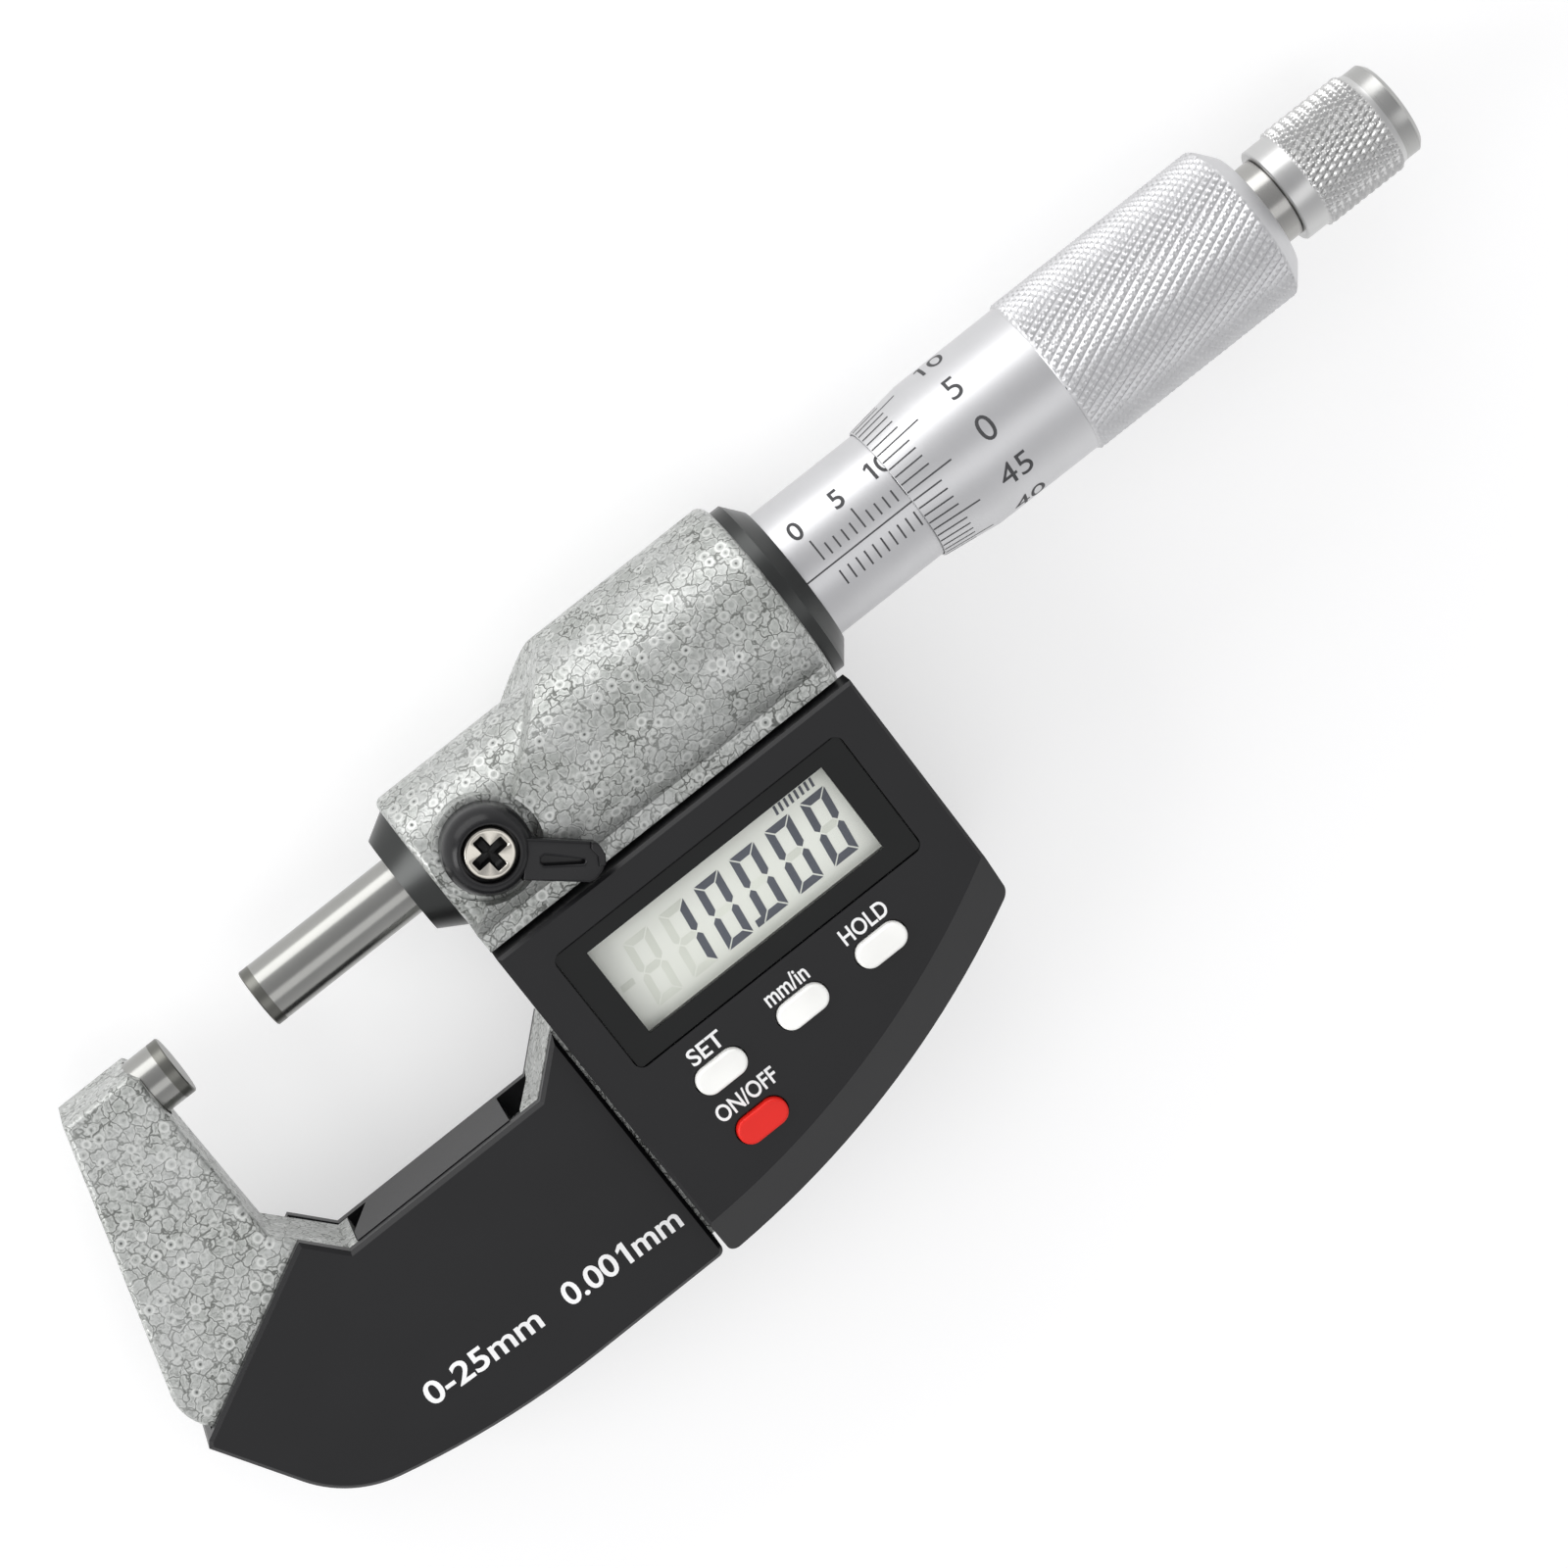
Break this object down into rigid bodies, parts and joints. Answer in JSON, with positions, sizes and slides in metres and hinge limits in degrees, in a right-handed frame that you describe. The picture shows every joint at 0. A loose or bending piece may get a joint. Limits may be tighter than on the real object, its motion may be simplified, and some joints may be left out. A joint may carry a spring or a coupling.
{
  "type": "digital outside micrometer",
  "caption": "Outside micrometer with digital display, hammertone frame, insulating bow covers, graduated sleeve, thimble, ratchet stop and spindle lock.",
  "frame": {"origin": "centre of the anvil's measuring face", "axes": "+X along the measuring axis from the anvil towards the ratchet, +Y in the frame's plane from the bow towards the barrel, +Z out of the display's face"},
  "size_m": [0.17, 0.0585, 0.0239],
  "materials": {
    "hammertone": "light grey hammertone paint on cast iron",
    "carbide": "lapped carbide",
    "ground_steel": "ground and polished steel",
    "satin_chrome": "satin chromed steel",
    "bright_steel": "bright chromed steel",
    "plain_steel": "plain machined steel",
    "brass": "machined brass",
    "black_plastic": "matte black moulded plastic",
    "cover_plastic": "matte black insulating plastic",
    "black_metal": "black oxide or black paint",
    "clear_lens": "clear moulded plastic",
    "lcd": "grey-green liquid crystal panel",
    "board": "green glass-fibre laminate",
    "silicone": "translucent silicone",
    "connector_rubber": "striped elastic connector",
    "white_button": "white moulded plastic",
    "red_button": "red moulded plastic",
    "cell": "nickel-plated cell",
    "cable": "amber polyimide film"
  },
  "bodies": {
    "frame": {"frame": "hammertone", "anvil": "ground_steel", "anvil_tip": "carbide", "front_collar": "black_metal", "rotor_spring_washer": "plain_steel", "encoder_stator": "board", "stator_spacer": "black_plastic", "inner_sleeve": "plain_steel", "adjusting_nut": "plain_steel", "rear_ring": "black_metal", "sleeve": "satin_chrome", "lock_pad": "brass", "front_insulating_cover": "cover_plastic", "back_insulating_cover": "cover_plastic", "cover_screws": "plain_steel", "display_housing": "black_plastic", "display_window": "clear_lens", "lcd_panel": "lcd", "lcd_connectors": "connector_rubber", "circuit_board": "board", "board_screws": "plain_steel", "button_pad": "silicone", "back_cover": "black_plastic", "case_screws": "plain_steel", "battery": "cell", "battery_contacts": "plain_steel", "battery_leads": "brass", "encoder_cable": "cable"},
    "rotor": {"encoder_rotor": "board", "rotor_key": "plain_steel", "rotor_clip": "plain_steel"},
    "spindle": {"spindle": "ground_steel", "spindle_tip": "carbide", "thimble": "satin_chrome", "ratchet_base": "bright_steel", "ratchet_screw": "plain_steel"},
    "ratchet": {"ratchet_knob": "satin_chrome", "ratchet_washer": "plain_steel", "ratchet_spring": "plain_steel"},
    "lock": {"lock_lever": "black_plastic", "lock_stud": "plain_steel", "lock_screw": "bright_steel"},
    "set_key": {"set_button": "white_button"},
    "unit_key": {"unit_button": "white_button"},
    "hold_key": {"hold_button": "white_button"},
    "power_key": {"power_button": "red_button"},
    "battery_lid": {"battery_cover": "black_plastic"}
  },
  "joints": [
    {"name": "thimble_turn", "type": "hinge", "parent": "frame", "child": "rotor", "pos_m": [0.0605, 0, 0], "axis": [1, 0, 0], "range_deg": [-7200, 10800]},
    {"name": "spindle_feed", "type": "slide", "parent": "rotor", "child": "spindle", "axis": [1, 0, 0], "range_m": [-0.01, 0.015]},
    {"name": "ratchet_slip", "type": "hinge", "parent": "spindle", "child": "ratchet", "pos_m": [0.14, 0, 0], "axis": [1, 0, 0], "continuous": true},
    {"name": "lock_turn", "type": "hinge", "parent": "frame", "child": "lock", "pos_m": [0.0361, 0.00015, 0.009], "axis": [0, 0, 1], "range_deg": [0, 70]},
    {"name": "set_press", "type": "slide", "parent": "frame", "child": "set_key", "axis": [0, 0, -1], "range_m": [0, 0.0005], "stiffness_N_per_m": 1500},
    {"name": "unit_press", "type": "slide", "parent": "frame", "child": "unit_key", "axis": [0, 0, -1], "range_m": [0, 0.0005], "stiffness_N_per_m": 1500},
    {"name": "hold_press", "type": "slide", "parent": "frame", "child": "hold_key", "axis": [0, 0, -1], "range_m": [0, 0.0005], "stiffness_N_per_m": 1500},
    {"name": "power_press", "type": "slide", "parent": "frame", "child": "power_key", "axis": [0, 0, -1], "range_m": [0, 0.0005], "stiffness_N_per_m": 1500},
    {"name": "battery_lid_turn", "type": "hinge", "parent": "frame", "child": "battery_lid", "pos_m": [0.0505, -0.026, -0.0105], "axis": [0, 0, 1], "range_deg": [0, 60]}
  ],
  "couplings": [
    {"joint": "thimble_turn", "follows": "spindle_feed", "rad_per_m": 12566}
  ]
}
